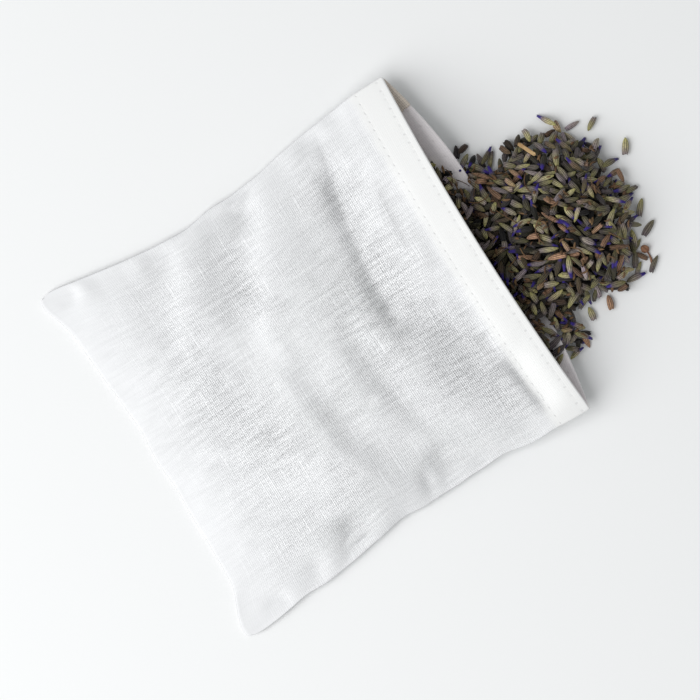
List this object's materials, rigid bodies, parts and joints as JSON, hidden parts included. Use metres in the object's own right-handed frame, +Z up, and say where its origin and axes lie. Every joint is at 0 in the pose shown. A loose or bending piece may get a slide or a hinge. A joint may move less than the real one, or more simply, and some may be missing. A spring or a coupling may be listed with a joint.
{
  "type": "lavender sachet",
  "caption": "Small square muslin sachet lying open on its back, with a double-stitched hem at the mouth and dried lavender buds spilling out in a heap.",
  "frame": {"origin": "centre of the bag's flat back on the table", "axes": "+Y from the sewn base to the open mouth, +X along the mouth, +Z up from the table"},
  "size_m": [0.1056, 0.1514, 0.0178],
  "materials": {
    "muslin": "plain-weave white muslin, matt, slightly see-through",
    "hem_cloth": "white muslin in three layers, matt and opaque",
    "raw_edge_cloth": "turned-in raw edge of the muslin, slightly beige",
    "sewing_thread": "white spun sewing thread",
    "dried_buds": "dry grey-green and violet lavender buds, matt",
    "single_buds": "dry ribbed lavender buds, olive to brown, matt",
    "withered_flower": "withered brown flower on its stem, matt",
    "dry_stalk": "dry tan stalk, satin"
  },
  "bodies": {
    "bag": {"back_panel": "muslin", "front_panel": "muslin", "back_hem": "hem_cloth", "back_hem_edge_thread": "sewing_thread", "back_hem_fold_thread": "sewing_thread", "left_seam_thread": "sewing_thread", "right_seam_thread": "sewing_thread", "base_seam_thread": "sewing_thread", "left_seam_allowance": "raw_edge_cloth", "right_seam_allowance": "raw_edge_cloth", "base_seam_allowance": "raw_edge_cloth", "lavender_fill": "dried_buds", "mouth_buds": "dried_buds"},
    "front_lip": {"front_lip_panel": "muslin", "front_hem": "hem_cloth", "front_hem_edge_thread": "sewing_thread", "front_hem_fold_thread": "sewing_thread"},
    "spill": {"spill_heap": "dried_buds", "loose_bud_1": "single_buds", "loose_bud_2": "single_buds", "loose_bud_3": "single_buds", "loose_bud_4": "single_buds", "loose_bud_5": "single_buds", "loose_bud_6": "single_buds", "loose_bud_7": "single_buds", "loose_bud_8": "single_buds", "flower_stub": "withered_flower", "stalk_piece": "dry_stalk"}
  },
  "joints": [
    {"name": "front_lip_lift", "type": "hinge", "parent": "bag", "child": "front_lip", "pos_m": [0, 0.0234, 0.0142], "axis": [1, 0, 0], "range_deg": [0, 25]},
    {"name": "spill_slide", "type": "slide", "parent": "bag", "child": "spill", "axis": [0, 1, 0], "range_m": [0, 0.05]}
  ]
}
